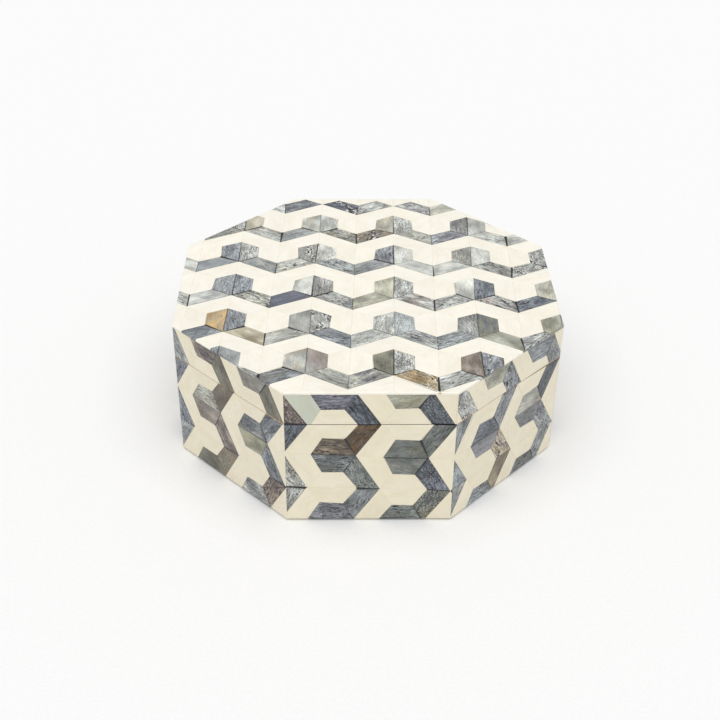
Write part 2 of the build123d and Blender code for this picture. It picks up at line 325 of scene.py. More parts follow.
# Ivory tiles: how light and how yellow, least and most, how strong their grain is, and how the
# cloudy parts differ from the rest in red, green and blue
IVORY_GAIN = (0.975, 1.01)
IVORY_WARMTH = (0.975, 1.0)
IVORY_CONTRAST = (0.2, 0.9)
IVORY_VEIN = (0.975, 0.96, 0.925)

# The grain of each tile: how far it strays from its usual direction, how fine it is, least and
# most, and how far away in the bone another tile may have been cut. Wear shows most beside black.
GRAIN_STRAY = 0.12
GRAIN_FINENESS = (0.75, 1.35)
BONE_REACH_MM = 900
CLEAN_EDGE_WEAR = 0.25

# Velvet linings. A card's rings crowd towards its rim, where the velvet turns under; ripples are
# given by their height and how many there are to a metre.
CARD_SETBACK = 0.25 * MM
CARD_RINGS = 30
CARD_STEPS = 96
CARD_CROWDING = 1.6
CARD_TURN_UNDER = 0.9 * MM
CARD_RIM_SHARE = 0.45
CARD_RIPPLE = 0.12 * MM
CARD_RIPPLES = 45
PILE_ROOM = 0.1 * MM
FLOOR_LINING_OVERLAP = 1.1 * MM
STRIP_COLUMNS = 24
STRIP_ROWS = 18
STRIP_TURN_UNDER = 0.5 * MM
STRIP_RIM_SHARE = 0.5
STRIP_CROWN_SHARE = 0.42
STRIP_RIPPLE = 0.1 * MM
STRIP_RIPPLES = 60

# The camera, the light and the floor. Angles are in degrees.
CAMERA_PLACE = (-0.0116, -0.4212, 0.3115)
CAMERA_DOWN = 34.42
CAMERA_TURN = -1.24
CAMERA_ROLL = 0.70
CAMERA_LENS_MM = 59.67
CAMERA_SENSOR_MM = 36.0
CAMERA_NEAR = 0.01
TENT_STRENGTH = 0.5
SUN_POWER = 1.8
SUN_SPREAD = 76
SUN_LEAN = (18, -1, 0)
FLOOR_REACH = 3.0


# ---------------- materials


class Surface:
    """A material being made: adds nodes, links or sets their inputs, and returns outputs."""

    def __init__(self, name):
        self.material = bpy.data.materials.new(name)
        self.material.use_nodes = True
        self.tree = self.material.node_tree
        self.shader = self.tree.nodes["Principled BSDF"]

    def add(self, kind, inputs=None, **settings):
        node = self.tree.nodes.new("ShaderNode" + kind)
        for key, value in settings.items():
            setattr(node, key, value)
        for key, value in (inputs or {}).items():
            self.feed(node.inputs[key], value)
        return node

    def feed(self, socket, value):
        if isinstance(value, bpy.types.NodeSocket):
            self.tree.links.new(value, socket)
        else:
            socket.default_value = value

    def finish(self, colour, roughness, normal=None, **inputs):
        """The material. Other inputs go by their own names, with _ for each space."""
        inputs |= {"Base_Color": colour, "Roughness": roughness}
        if normal:
            inputs["Normal"] = normal
        for key, value in inputs.items():
            self.feed(self.shader.inputs[key.replace("_", " ")], value)
        return self.material

    def place(self):
        """Where a point is on the object."""
        return self.add("TexCoord").outputs["Object"]

    def attribute(self, name, output="Vector"):
        return self.add("Attribute", attribute_name=name).outputs[output]

    def noise(self, vector, scale=1.0, detail=3.0, rough=0.55, distortion=0.0):
        values = {"Vector": vector, "Scale": scale, "Detail": detail}
        values |= {"Roughness": rough, "Distortion": distortion}
        return self.add("TexNoise", values).outputs["Fac"]

    def grained(self, vector, along, across, depth=1.0, **settings):
        """Noise that is drawn out along the grain."""
        scale = {"Vector": vector, "Scale": (along, across, depth)}
        return self.noise(self.add("Mapping", scale).outputs["Vector"], **settings)

    def ramp(self, value, low, high, to_low=0.0, to_high=1.0):
        """Maps a value smoothly from one range to another, held at both ends."""
        values = {"Value": value, "From Min": low, "From Max": high}
        values |= {"To Min": to_low, "To Max": to_high}
        return self.add("MapRange", values, interpolation_type="SMOOTHSTEP").outputs["Result"]

    def maths(self, operation, first, second=0.0, third=0.0):
        node = self.add("Math", operation=operation)
        for socket, value in zip(node.inputs, (first, second, third)):
            self.feed(socket, value)
        return node.outputs["Value"]

    def times(self, first, second):
        return self.maths("MULTIPLY", first, second)

    def mix(self, factor, first, second, blend="MIX"):
        node = self.add("Mix", data_type="RGBA", blend_type=blend)
        colours = [socket for socket in node.inputs if socket.type == "RGBA"]
        self.feed(node.inputs[0], factor)
        self.feed(colours[0], first)
        self.feed(colours[1], second)
        return next(out for out in node.outputs if out.type == "RGBA")

    def bump(self, height, strength, distance, normal=None):
        inputs = {"Height": height, "Strength": strength, "Distance": distance}
        if normal:
            inputs["Normal"] = normal
        return self.add("Bump", inputs).outputs["Normal"]


def bone_shade(s, grain, streak, fine, contrast, cloud_depth, streak_depth):
    """Light and dark along the grain and in broad clouds."""
    least, most = 1.0 - streak_depth, 1.0 + streak_depth
    streaks = s.ramp(streak, 0.36, 0.64, least, most)
    hairs = s.ramp(fine, 0.36, 0.64, least, 1.0 + 0.8 * streak_depth)
    shade = s.times(streaks, hairs)
    shade = s.maths("POWER", shade, s.maths("MULTIPLY_ADD", contrast, 1.2, 0.1))
    clouds = s.grained(grain, 0.09, 0.13, 0.7, detail=1.0)
    clouds = s.ramp(clouds, 0.3, 0.7, 1.0 - cloud_depth, 1.0 + cloud_depth)
    return s.times(shade, clouds)


def bone_flecks(s, grain, porous, contrast, fleck_depth):
    """Where dashes lie along the bone, pores open across it, and pale spots lie between them."""
    strength = s.times(contrast, fleck_depth)
    patches = s.grained(grain, 0.17, 0.34, 1.7, detail=1.0)
    patches = s.ramp(patches, 0.38, 0.6, 0.12, 1.0)
    dashes = s.grained(grain, 0.45, 1.6, detail=3.0, rough=0.6, distortion=0.3)
    dashes = s.times(s.ramp(dashes, 0.53, 0.58), patches)
    along_bone = s.maths("SUBTRACT", 1.0, porous)
    dashes = s.times(dashes, s.maths("MULTIPLY_ADD", along_bone, 0.8, 0.2))
    dashes = s.times(dashes, strength)
    pores = s.grained(grain, 1.3, 1.7, detail=3.0, rough=0.65)
    pores = s.times(s.ramp(pores, 0.54, 0.58), s.times(porous, patches))
    pores = s.times(pores, strength)
    pale = s.ramp(s.grained(grain, 1.6, 2.2, 3.1, detail=2.0), 0.55, 0.65)
    pale = s.times(pale, s.times(porous, 0.35 * fleck_depth))
    return dashes, pores, pale


def bone_chips(s, grain, chipped):
    """Where a chipped tile has black crumbs and white ones."""
    crumbs = s.grained(grain, 0.8, 1.4, 2.0, detail=3.0, rough=0.7)
    chipping = s.ramp(s.grained(grain, 0.17, 0.24, 5.0, detail=1.0), 0.56, 0.61)
    chipping = s.times(chipping, chipped)
    black = s.times(s.ramp(crumbs, 0.51, 0.55), chipping)
    white = s.times(s.ramp(crumbs, 0.46, 0.42), chipping)
    return black, white


def bone_material(name, cloud_depth, fleck_depth, streak_depth, dirt_depth, fleck_colour):
    """Polished bone under lacquer, its tone and grain read from each tile."""
    s = Surface(name)
    tone = s.attribute("tone", "Color")
    vein = s.attribute("vein", "Color")
    grain = s.attribute("grain")
    edge = s.attribute("edge", "Fac")
    cut = s.add("SeparateXYZ", {"Vector": s.attribute("cut")}).outputs
    porous, contrast, chipped = cut["X"], cut["Y"], cut["Z"]

    veins = s.grained(grain, 0.11, 0.24, detail=2.0)
    streak = s.grained(grain, 0.28, 1.25, detail=3.0, rough=0.6, distortion=0.4)
    fine = s.grained(grain, 0.9, 3.4, detail=3.0, rough=0.7)
    shade = bone_shade(s, grain, streak, fine, contrast, cloud_depth, streak_depth)
    grey = s.add("CombineColor", {"Red": shade, "Green": shade, "Blue": shade}).outputs["Color"]
    colour = s.mix(s.ramp(veins, 0.38, 0.66), tone, vein)
    colour = s.mix(1.0, colour, grey, "MULTIPLY")

    dashes, pores, pale = bone_flecks(s, grain, porous, contrast, fleck_depth)
    colour = s.mix(dashes, colour, fleck_colour)
    colour = s.mix(pores, colour, fleck_colour)
    colour = s.mix(pale, colour, linear(222, 222, 216))

    # Dye gathers beside a black joint, and a few tiles are chipped in places.
    dirt = s.times(s.ramp(edge, 0.45, 1.0), s.ramp(streak, 0.35, 0.65, 0.4, 1.0))
    colour = s.mix(s.times(dirt, dirt_depth), colour, linear(56, 56, 62))
    black, white = bone_chips(s, grain, chipped)
    colour = s.mix(black, colour, linear(30, 29, 30))
    colour = s.mix(white, colour, linear(244, 243, 238))

    pits = s.maths("ADD", pores, black)
    pits = s.maths("ADD", pits, s.times(dashes, 0.5))
    waviness = s.grained(grain, 0.12, 0.12, detail=1.0)
    height = s.maths("SUBTRACT", s.times(fine, 0.25), pits)
    normal = s.bump(height, 0.25, 0.00006)
    normal = s.bump(waviness, 0.12, 0.0004, normal)
    roughness = s.maths("MULTIPLY_ADD", pits, 0.25, s.ramp(streak, 0.3, 0.7, 0.26, 0.38))
    lacquer = {"Specular_IOR_Level": 0.3, "Coat_Weight": 0.12, "Coat_Roughness": 0.12}
    return s.finish(colour, roughness, normal, **lacquer)


def resin_and_seam_shade_material(name, colour, spread):
    """The filler between tiles, hard resin with a little dust in it, and the painted shade along the
    seam.
    """
    s = Surface(name)
    place = s.place()
    dust = s.noise(place, 2200.0, detail=3.0)
    thick = s.noise(place, 420.0, detail=2.0)
    shade = s.mix(s.ramp(dust, 0.45, 0.7), colour, spread)
    shade = s.mix(s.ramp(thick, 0.5, 0.75, 0.0, 0.5), shade, spread)
    normal = s.bump(dust, 0.3, 0.00004)
    return s.finish(shade, s.ramp(thick, 0.3, 0.7, 0.3, 0.5), normal)


def wood_material(name, angle):
    """Stained wood with its grain along a board, which lies at this angle in plan."""
    s = Surface(name)
    place = s.place()
    turn = (0.0, 0.0, -math.radians(angle))
    place = s.add("Mapping", {"Vector": place, "Rotation": turn}).outputs["Vector"]
    fibres = s.grained(place, 1100.0, 60.0, 900.0, detail=4.0, rough=0.6)
    rings = s.grained(place, 190.0, 9.0, 150.0, detail=3.0, distortion=0.6)
    pores = s.grained(place, 2600.0, 190.0, 2600.0, detail=2.0)
    colour = s.mix(s.ramp(rings, 0.35, 0.65), linear(118, 74, 44), linear(74, 42, 25))
    colour = s.mix(s.ramp(fibres, 0.4, 0.68, 0.0, 0.55), colour, linear(146, 98, 60))
    pore_mask = s.ramp(pores, 0.62, 0.7, 0.0, 0.75)
    colour = s.mix(pore_mask, colour, linear(36, 20, 13))
    height = s.maths("SUBTRACT", s.times(fibres, 0.5), pore_mask)
    normal = s.bump(height, 0.35, 0.00012)
    roughness = s.ramp(fibres, 0.3, 0.7, 0.42, 0.6)
    return s.finish(colour, roughness, normal)


def velvet_material(name):
    """Short pile, painted lighter where it is brushed another way: a painted sheen."""
    s = Surface(name)
    place = s.place()
    brushed_sheen = s.noise(place, 85.0, detail=3.0, distortion=0.8)
    pile = s.noise(place, 2600.0, detail=3.0, rough=0.7)
    tufts = s.noise(place, 700.0, detail=2.0)
    colour = s.mix(s.ramp(brushed_sheen, 0.3, 0.72), linear(104, 15, 26), linear(128, 23, 35))
    colour = s.mix(s.ramp(pile, 0.35, 0.7, 0.0, 0.6), colour, linear(56, 5, 12))
    height = s.maths("ADD", pile, s.times(tufts, 0.6))
    normal = s.bump(height, 0.55, 0.00025)
    roughness = s.ramp(tufts, 0.3, 0.7, 0.8, 0.95)
    sheen = {"Sheen_Weight": 0.8, "Sheen_Roughness": 0.35, "Sheen_Tint": linear(226, 120, 128)}
    sheen["Specular_IOR_Level"] = 0.15
    return s.finish(colour, roughness, normal, **sheen)


def felt_material(name):
    """Pressed black fibres."""
    s = Surface(name)
    place = s.place()
    fibres = s.noise(place, 1500.0, detail=4.0, rough=0.7, distortion=2.0)
    lint = s.noise(place, 240.0, detail=3.0)
    colour = s.mix(s.ramp(fibres, 0.35, 0.7), linear(24, 24, 26), linear(58, 58, 60))
    colour = s.mix(s.ramp(lint, 0.55, 0.75, 0.0, 0.35), colour, linear(84, 83, 82))
    normal = s.bump(fibres, 0.6, 0.0003)
    roughness = s.ramp(lint, 0.3, 0.7, 0.85, 1.0)
    return s.finish(colour, roughness, normal, Sheen_Weight=0.3)


def brass_material(name):
    """Drawn brass, slightly tarnished, with fine scratches along the hinge."""
    s = Surface(name)
    place = s.place()
    tarnish = s.noise(place, 240.0, detail=4.0, rough=0.6)
    scratches = s.grained(place, 260.0, 5200.0, 5200.0, detail=2.0)
    colour = s.mix(s.ramp(tarnish, 0.42, 0.7), linear(214, 176, 104), linear(156, 118, 62))
    colour = s.mix(s.ramp(scratches, 0.55, 0.75, 0.0, 0.35), colour, linear(232, 204, 142))
    roughness = s.ramp(tarnish, 0.35, 0.7, 0.22, 0.42)
    roughness = s.maths("ADD", roughness, s.ramp(scratches, 0.5, 0.8, 0.0, 0.12))
    normal = s.bump(scratches, 0.25, 0.00003)
    return s.finish(colour, roughness, normal, Metallic=1.0)


def floor_material(name):
    """Pale matt paper with the faintest tooth."""
    s = Surface(name)
    place = s.place()
    tooth = s.noise(place, 900.0, detail=3.0)
    colour = s.mix(s.ramp(tooth, 0.3, 0.7), linear(245, 245, 245), linear(248, 248, 248))
    roughness = s.ramp(tooth, 0.3, 0.7, 0.85, 0.95)
    return s.finish(colour, roughness, Specular_IOR_Level=0.0)


# ---------------- tile outlines


def right_hand_tiles(column_pitch):
    """Corners of the tiles right of a peak, each with the kind of joint that follows it."""
    valley = column_pitch / 2
    side = HEXAGON_HALF_WIDTH
    low = (HEXAGON_LENGTH - HEXAGON_SHORT_EDGE) / 2
    high = low + HEXAGON_SHORT_EDGE
    roof = ROW_PITCH - BAND_DROP
    sill = BAND_WIDTH - BAND_DROP
    return {
        ("slate", "hexagon"): [
            ((0, 0), "seat"), ((side, low), "plain"),
            ((side, high), "plain"), ((0, HEXAGON_LENGTH), "split"),
        ],
        ("slate", "band"): [
            ((0, 0), "plain"), ((valley, -BAND_DROP), "valley"),
            ((valley, sill), "plain"), ((side, low), "seat"),
        ],
        ("ivory", "hexagon"): [
            ((side, low), "plain"), ((valley, sill), "plain"),
            ((valley, roof), "plain"), ((side, high), "plain"),
        ],
        ("ivory", "band"): [
            ((0, HEXAGON_LENGTH), "plain"), ((side, high), "plain"),
            ((valley, roof), "plain"), ((0, ROW_PITCH), "plain"),
        ],
    }


def mirrored(corners):
    """The same outline left of the peak, still anticlockwise with each joint after its corner."""
    points = [(-a, b) for (a, b), joint in corners]
    joints = [joint for point, joint in corners]
    count = len(corners)
    return [(points[-k % count], joints[(-k - 1) % count]) for k in range(count)]


def grain_angle(shape, side, column_pitch):
    """The usual direction of the bone's grain in a tile, in the pattern's own axes."""
    if shape == "hexagon":
        return RIGHT_ANGLE
    return -side * math.atan2(BAND_DROP, column_pitch / 2)


def wobbled(a, b, face_seed):
    """A corner moved a little, the same way for every tile that shares it."""
    steps = [round(value / WOBBLE_CELL * WOBBLE_STEPS) for value in (a, b)]
    cell = [step / WOBBLE_STEPS + WOBBLE_SHIFT for step in steps]
    push = noise.cell_vector(Vector(cell + [face_seed]))
    return a + WOBBLE * (2 * push.x - 1), b + WOBBLE * (2 * push.y - 1)


def distance_past(spot, point, normal):
    """How far a spot lies past the line through a point, on the side that the normal points to."""
    return (spot[0] - point[0]) * normal[0] + (spot[1] - point[1]) * normal[1]


def clipped(outline, point, normal, joint):
    """The part of a convex outline behind a line, whose new edge gets this joint."""
    kept = []
    for k, (start, after) in enumerate(outline):
        end = outline[(k + 1) % len(outline)][0]
        from_line = distance_past(start, point, normal)
        to_line = distance_past(end, point, normal)
        if from_line <= 0:
            kept.append((start, after))
        if (from_line <= 0) != (to_line <= 0):
            share = from_line / (from_line - to_line)
            crossing = tuple(a + share * (b - a) for a, b in zip(start, end))
            kept.append((crossing, joint if from_line <= 0 else after))
    return kept


def area(points):
    """The area of an outline, positive if it runs anticlockwise."""
    total = 0.0
    for (ax, ay), (bx, by) in zip(points, points[1:] + points[:1]):
        total += ax * by - bx * ay
    return total / 2


def without_short_edges(outline):
    """Drops the corners that nearly coincide with the one before."""
    kept = []
    for k, (point, joint) in enumerate(outline):
        after = outline[(k + 1) % len(outline)][0]
        if math.dist(point, after) > SHORTEST_EDGE:
            kept.append((point, joint))
    return kept


def shrunk(points, insets):
    """An outline with each edge moved inwards by its own distance."""
    count = len(points)
    lines = []
    for k in range(count):
        start, end = Vector(points[k]), Vector(points[(k + 1) % count])
        along = (end - start).normalized()
        inwards = Vector((-along.y, along.x))
        lines.append((start + inwards * insets[k], along))
    moved = []
    for k in range(count):
        (first, first_way), (second, second_way) = lines[k - 1], lines[k]
        cross = first_way.x * second_way.y - first_way.y * second_way.x
        if abs(cross) < LEAST_TURN:
            moved.append(tuple(second))
            continue
        gap = second - first
        reach = (gap.x * second_way.y - gap.y * second_way.x) / cross
        moved.append(tuple(first + first_way * reach))
    return moved


def is_inside(inner, outer):
    """True if an outline stays inside a convex one."""
    for (ax, ay), (bx, by) in zip(outer, outer[1:] + outer[:1]):
        for x, y in inner:
            if (bx - ax) * (y - ay) - (by - ay) * (x - ax) < 0:
                return False
    return True


def drawn_in(points, insets):
    """An outline with its edges moved inwards, or hardly moved where it is too narrow for that."""
    moved = shrunk(points, insets)
    if is_inside(moved, points):
        return moved
    return shrunk(points, [RIM_INSET] * len(points))


# ---------------- laying a face


def outward_and_right(degrees):
    """The way out of a side at this angle, and the way to its right as seen from outside."""
    angle = math.radians(degrees)
    cosine, sine = math.cos(angle), math.sin(angle)
    return Vector((cosine, sine, 0)), Vector((-sine, cosine, 0))


class Face:
    """One flat outside face: where it lies, its rims and its tile pattern."""

    def __init__(self, name, seed, bottom, top):
        self.name = name
        self.seed = seed
        self.bottom = bottom
        self.top = top
        self.is_top = name == "top"
        self.is_skirt = not self.is_top and bottom > SEAM
        if self.is_top:
            self.stand_on_top()
        else:
            self.stand_at_side()

    def stand_on_top(self):
        self.inlay = TOP_INLAY
        self.column_pitch = TOP_COLUMN_PITCH
        self.reach = TOP_REACH
        self.peak = [value * MM for value in TOP_PEAK_MM]
        self.turn = math.radians(TOP_LEAN)
        self.right, self.up, self.out = Vector((1, 0, 0)), Vector((0, 1, 0)), Vector((0, 0, 1))
        self.origin = self.out * TOP

    def stand_at_side(self):
        self.inlay = SIDE_INLAY
        self.column_pitch = SIDE_COLUMN_PITCH
        self.reach = SIDE_REACH
        errors = SKIRT_ERRORS if self.is_skirt else BASE_ERRORS
        across, up, lean = errors.get(self.name, (0, 0, 0))
        drop = SAW_CUT_MM if self.is_skirt else 0
        self.peak = [(SIDE_PEAK_MM[0] + across) * MM, (SIDE_PEAK_MM[1] + up - drop) * MM]
        self.turn = math.radians(SIDE_LEAN + lean)
        self.out, self.right = outward_and_right(FACE_ANGLES[self.name])
        self.up = Vector((0, 0, 1))
        self.origin = self.out * HALF_WIDTH

    def rims(self):
        """The lines that bound the face, as (distance from the middle, outward normal, rounding)."""
        if self.is_top:
            angles = [math.radians(360 / SIDES * k) for k in range(SIDES)]
            normals = [(math.cos(angle), math.sin(angle)) for angle in angles]
            return [(HALF_WIDTH, normal, "top") for normal in normals]
        rims = [(SIDE_WIDTH / 2, (1, 0), "corner"), (SIDE_WIDTH / 2, (-1, 0), "corner")]
        rims.append((-self.bottom, (0, -1), "seam" if self.is_skirt else "foot"))
        rims.append((self.top, (0, 1), "flush" if self.is_skirt else "seam"))
        return rims

    def placed(self, a, b):
        """A point of the pattern on the face."""
        a, b = wobbled(a, b, self.seed)
        cosine, sine = math.cos(self.turn), math.sin(self.turn)
        return self.peak[0] + a * cosine - b * sine, self.peak[1] + a * sine + b * cosine

    def tiles(self, shade):
        """Every tile of one shade that may touch the face, as dictionaries."""
        columns, rows = self.reach
        for row in range(-rows, rows + 1):
            for column in range(-columns, columns + 1):
                for (tile_shade, shape), corners in right_hand_tiles(self.column_pitch).items():
                    if tile_shade != shade:
                        continue
                    for side, outline in ((1, corners), (-1, mirrored(corners))):
                        piece = f"{shape}_{'right' if side > 0 else 'left'}"
                        yield self.tile(row, column, piece, shape, side, outline)

    def tile(self, row, column, piece, shape, side, outline):
        """One tile: its key in the list, its outline on the face and its grain's direction."""
        away = (column * self.column_pitch, row * ROW_PITCH)
        placed = [(self.placed(a + away[0], b + away[1]), joint) for (a, b), joint in outline]
        return {
            "key": (row, column, piece),
            "outline": placed,
            "grain": grain_angle(shape, side, self.column_pitch) + self.turn,
        }


def rounding_width(kind):
    """How far a rounded edge reaches into its face."""
    radius, turn = ROUNDINGS[kind]
    return radius * math.tan(turn) if turn < HALF_CORNER * 2 else radius


def rounding_drop(kind, distance):
    """How far the surface falls away at a distance from a rounded rim."""
    radius, turn = ROUNDINGS[kind]
    width = rounding_width(kind)
    if distance >= width:
        return 0.0
    across = radius * math.sin(turn) * (1 - max(distance, 0.0) / width)
    return radius - math.sqrt(max(radius * radius - across * across, 0.0))


def split_round_hinges(outline, is_skirt):
    """The parts of a back tile that are left beside the hinge recesses."""
    parts = [outline]
    way = 1 if is_skirt else -1
    limit = SEAM + way * HINGE_RECESS_HALF_HEIGHT
    for centre in HINGE_CENTRES:
        low, high = centre - HINGE_RECESS_HALF_LENGTH, centre + HINGE_RECESS_HALF_LENGTH
        left_over = []
        for part in parts:
            beside_left = clipped(part, (low, 0), (1, 0), "cut")
            beside_right = clipped(part, (high, 0), (-1, 0), "cut")
            middle = clipped(clipped(part, (low, 0), (-1, 0), "cut"), (high, 0), (1, 0), "cut")
            middle = clipped(middle, (0, limit), (0, -way), "rim")
            left_over += [piece for piece in (beside_left, beside_right, middle) if len(piece) > 2]
        parts = left_over
    return parts


def hand_laid(face, key):
    """What the list says about a tile of the dark pattern; "" if nothing."""
    row, column, piece = key
    laid = HAND_LAID.get(face.name, {}).get((row, column), "- - - -")
    return laid.split()[PIECES.index(piece)].replace("-", "")


def ivory_finish(face, tile, chance):
    """The tone, vein and cut of an ivory tile, painted lighter on the top. One tile at the front is
    greenish.
    """
    ivory = TOP_IVORY_PAINTED_LIGHT if face.is_top else SIDE_IVORY_PAINTED_SHADE
    if (face.name, tile["key"]) == GREEN_TILE:
        ivory = GREEN_IVORY
    gain = chance.uniform(*IVORY_GAIN)
    warmth = chance.uniform(*IVORY_WARMTH)
    tone = [ivory[0] * gain, ivory[1] * gain, ivory[2] * gain * warmth]
    vein = [value * factor for value, factor in zip(tone, IVORY_VEIN)]
    cut = (IVORY_PORES * chance.random(), chance.uniform(*IVORY_CONTRAST), 0.0)
    return tone + [1.0], vein + [1.0], cut


def dark_finish(face, tile, chance):
    """The tone, vein and cut of a dark tile: from the list where it names one, else by chance."""
    mark = hand_laid(face, tile["key"])
    names, weights = zip(*(COMMON_TONES if face.is_top else COMMON_SIDE_TONES))
    by_chance = chance.choices(names, weights)[0]
    vein_by_chance = chance.choices(names, weights)[0]
    name, _, vein_name = mark.rstrip(":!~").partition("/")
    porous = ":" in mark if mark else chance.random() < POROUS_SHARE
    chipped = "!" in mark or (not mark and chance.random() < CHIPPED_SHARE)
    contrast = chance.uniform(*(TOP_CONTRAST if face.is_top else SIDE_CONTRAST))
    if porous:
        contrast += POROUS_CONTRAST_GAIN
    if "~" in mark or (not mark and chance.random() < PLAIN_SHARE):
        contrast *= PLAIN_CONTRAST_SHARE
    tone = TONES[name or by_chance][:3]
    vein = TONES[vein_name or vein_by_chance][:3]
    share = NAMED_VEIN if vein_name else CHANCE_VEIN
    vein = [(1 - share) * first + share * second for first, second in zip(tone, vein)]
    # On the top the gain is painted glare from the overhead light.
    gain = chance.uniform(*(TOP_GAIN_WITH_PAINTED_GLARE if face.is_top else SIDE_GAIN))
    tone = [value * gain for value in tone]
    return tone + [1.0], vein + [1.0], (DARK_PORES if porous else 0.0, contrast, float(chipped))


def joint_fill(start, end, joint, face, shade):
    """Half the width of the filler along an edge, and which filler it is.

    Both tiles beside a joint ask about the same edge, so they get the same answer."""
    # At the seam the filler is painted shadow: black on the front, tan on the other sides.
    if joint == "seam":
        return SEAM_SHADE_BANDS[shade], "black" if face.name == "front" else "tan"
    if joint in ("rim", "cut"):
        return RIM_INSET, "bone"
    if joint == "plain":
        return HAIRLINE, "pale"
    middle = Vector(((start[0] + end[0]) / 2, (start[1] + end[1]) / 2, 0)) / JOINT_CELL
    middle.z = face.seed
    share, narrowest, widest = DARK_JOINTS[joint]
    draw = noise.cell(middle)
    if draw > share:
        return HAIRLINE, "black"
    return (narrowest + (widest - narrowest) * draw / share) * MM, "black"


def beside_black(fillers, corner):
    """True if one of the two edges that meet at a corner is black: resin, painted shadow at the front
    seam.
    """
    return "black" in (fillers[corner], fillers[corner - 1])


def pulled_in(points, fillers, chance):
    """Draws a few corners back from a black joint, where the resin shows as a wedge; at the front
    seam, painted shadow.
    """
    centre = sum((Vector(point) for point in points), Vector((0, 0))) / len(points)
    moved = []
    for k, point in enumerate(points):
        pull = chance.uniform(*CORNER_PULL_MM) * MM
        if beside_black(fillers, k) and chance.random() < WEDGE_SHARE:
            pull = chance.uniform(*WEDGE_PULL_MM) * MM
        way = (centre - Vector(point)).normalized()
        moved.append(tuple(Vector(point) + way * pull))
    return moved


def tile_rings(points, inner, edge_wear, inlay):
    """A tile's outlines from its face down, as (corners, depth, wear); empty if it is too small."""
    count = len(points)
    bevelled = drawn_in(inner, [TILE_BEVEL] * count)
    if area(bevelled) < SMALLEST_AREA or not is_inside(bevelled, points):
        return []
    outlines = [(bevelled, 0.0), (inner, -TILE_BEVEL), (inner, -RESIN_DEPTH)]
    outlines += [(points, -RESIN_DEPTH), (points, -inlay)]
    rings = [(outline, depth, edge_wear) for outline, depth in outlines]
    middle = shrunk(inner, [EDGE_BAND] * count)
    if area(middle) > SMALLEST_AREA and is_inside(middle, bevelled):
        rings.insert(0, (middle, 0.0, [0.0] * count))
    return rings


def grain_of(tile, chance):
    """Along and across a tile's grain, and the place in the bone that it was cut from."""
    angle = tile["grain"] + chance.gauss(0.0, GRAIN_STRAY)
    fineness = chance.uniform(*GRAIN_FINENESS)
    along = Vector((math.cos(angle), math.sin(angle))) * fineness
    across = Vector((-along.y, along.x))
    place = Vector([chance.uniform(0, BONE_REACH_MM) for _ in range(3)])
    return along, across, place


def add_ring(bm, layers, corners, depth, wear, grain):
    """Adds one outline of a tile at a depth, each corner with its place in the bone."""
    along, across, place = grain
    ring = []
    for corner, worn in zip(corners, wear):
        vertex = bm.verts.new((*corner, depth))
        flat = Vector(corner) / MM
        vertex[layers["grain"]] = place + Vector((flat.dot(along), flat.dot(across), depth / MM))
        vertex[layers["edge"]] = worn
        ring.append(vertex)
    return ring


def add_tile(bm, layers, outline, tile, finish, shade, face, chance):
    """Adds one tile as a closed solid: face, fine bevel, and the resin round it, painted shade at the
    seam.
    """
    outline = without_short_edges(outline)
    if len(outline) < 3:
        return
    points = [point for point, joint in outline]
    ends = points[1:] + points[:1]
    fills = [joint_fill(start, end, joint, face, shade) for (start, joint), end in zip(outline, ends)]
    fillers = [filler for width, filler in fills]
    inner = drawn_in(points, [width for width, filler in fills])
    if shade == "slate":
        inner = pulled_in(inner, fillers, chance)
    corners = range(len(points))
    edge_wear = [1.0 if beside_black(fillers, k) else CLEAN_EDGE_WEAR for k in corners]
    rings = tile_rings(points, inner, edge_wear, face.inlay)
    if not rings:
        return
    grain = grain_of(tile, chance)
    loops = [add_ring(bm, layers, *ring, grain) for ring in rings]
    faces = [bm.faces.new(loops[0]), bm.faces.new(list(reversed(loops[-1])))]
    # The two lowest walls are the resin's top and the side below it, painted shade where a tile meets
    # the seam.
    resin_ring = len(loops) - 3
    for k, (upper, lower) in enumerate(zip(loops, loops[1:])):
        for j in corners:
            after = (j + 1) % len(points)
            wall = bm.faces.new((upper[j], lower[j], lower[after], upper[after]))
            if k >= resin_ring:
                wall.material_index = FILLERS.index(fillers[j])
            faces.append(wall)
    for tile_face in faces:
        for layer, value in zip(("tone", "vein", "cut"), finish):
            tile_face[layers[layer]] = value


def new_layers(bm):
    """What each tile tells its material, at its corners and on its faces."""
    return {
        "grain": bm.verts.layers.float_vector.new("grain"),
        "edge": bm.verts.layers.float.new("edge"),
        "tone": bm.faces.layers.float_color.new("tone"),
        "vein": bm.faces.layers.float_color.new("vein"),
        "cut": bm.faces.layers.float_vector.new("cut"),
    }


def cut_through(bm, point, normal, **settings):
    """Cuts every face of a mesh where a plane crosses it."""
    everything = bm.verts[:] + bm.edges[:] + bm.faces[:]
    plane = {"plane_co": point, "plane_no": normal}
    return bmesh.ops.bisect_plane(bm, geom=everything, dist=SAME_SPOT, **plane, **settings)


def round_rims(bm, rims, inlay):
    """Cuts lines along the rims and lets the surface fall away there, as polishing leaves it."""
    rounded = [rim for rim in rims if rim[2] != "flush"]
    for distance, normal, kind in rounded:
        width = rounding_width(kind)
        for step in ROUNDING_STEPS:
            at = distance - width * step
            cut_through(bm, (normal[0] * at, normal[1] * at, 0), (normal[0], normal[1], 0))
    for vertex in bm.verts:
        drop = 0.0
        for distance, normal, kind in rounded:
            inwards = distance - (vertex.co.x * normal[0] + vertex.co.y * normal[1])
            drop = max(drop, rounding_drop(kind, inwards))
        vertex.co.z -= drop * (1 + vertex.co.z / inlay)


def stand_up(bm, face):
    """Moves a finished field from its own plane onto the box, mitred at the upright corners."""
    for vertex in bm.verts:
        u, v, depth = vertex.co
        if not face.is_top:
            u *= 1 + depth * math.tan(HALF_CORNER) / (SIDE_WIDTH / 2)
        vertex.co = face.origin + face.right * u + face.up * v + face.out * depth


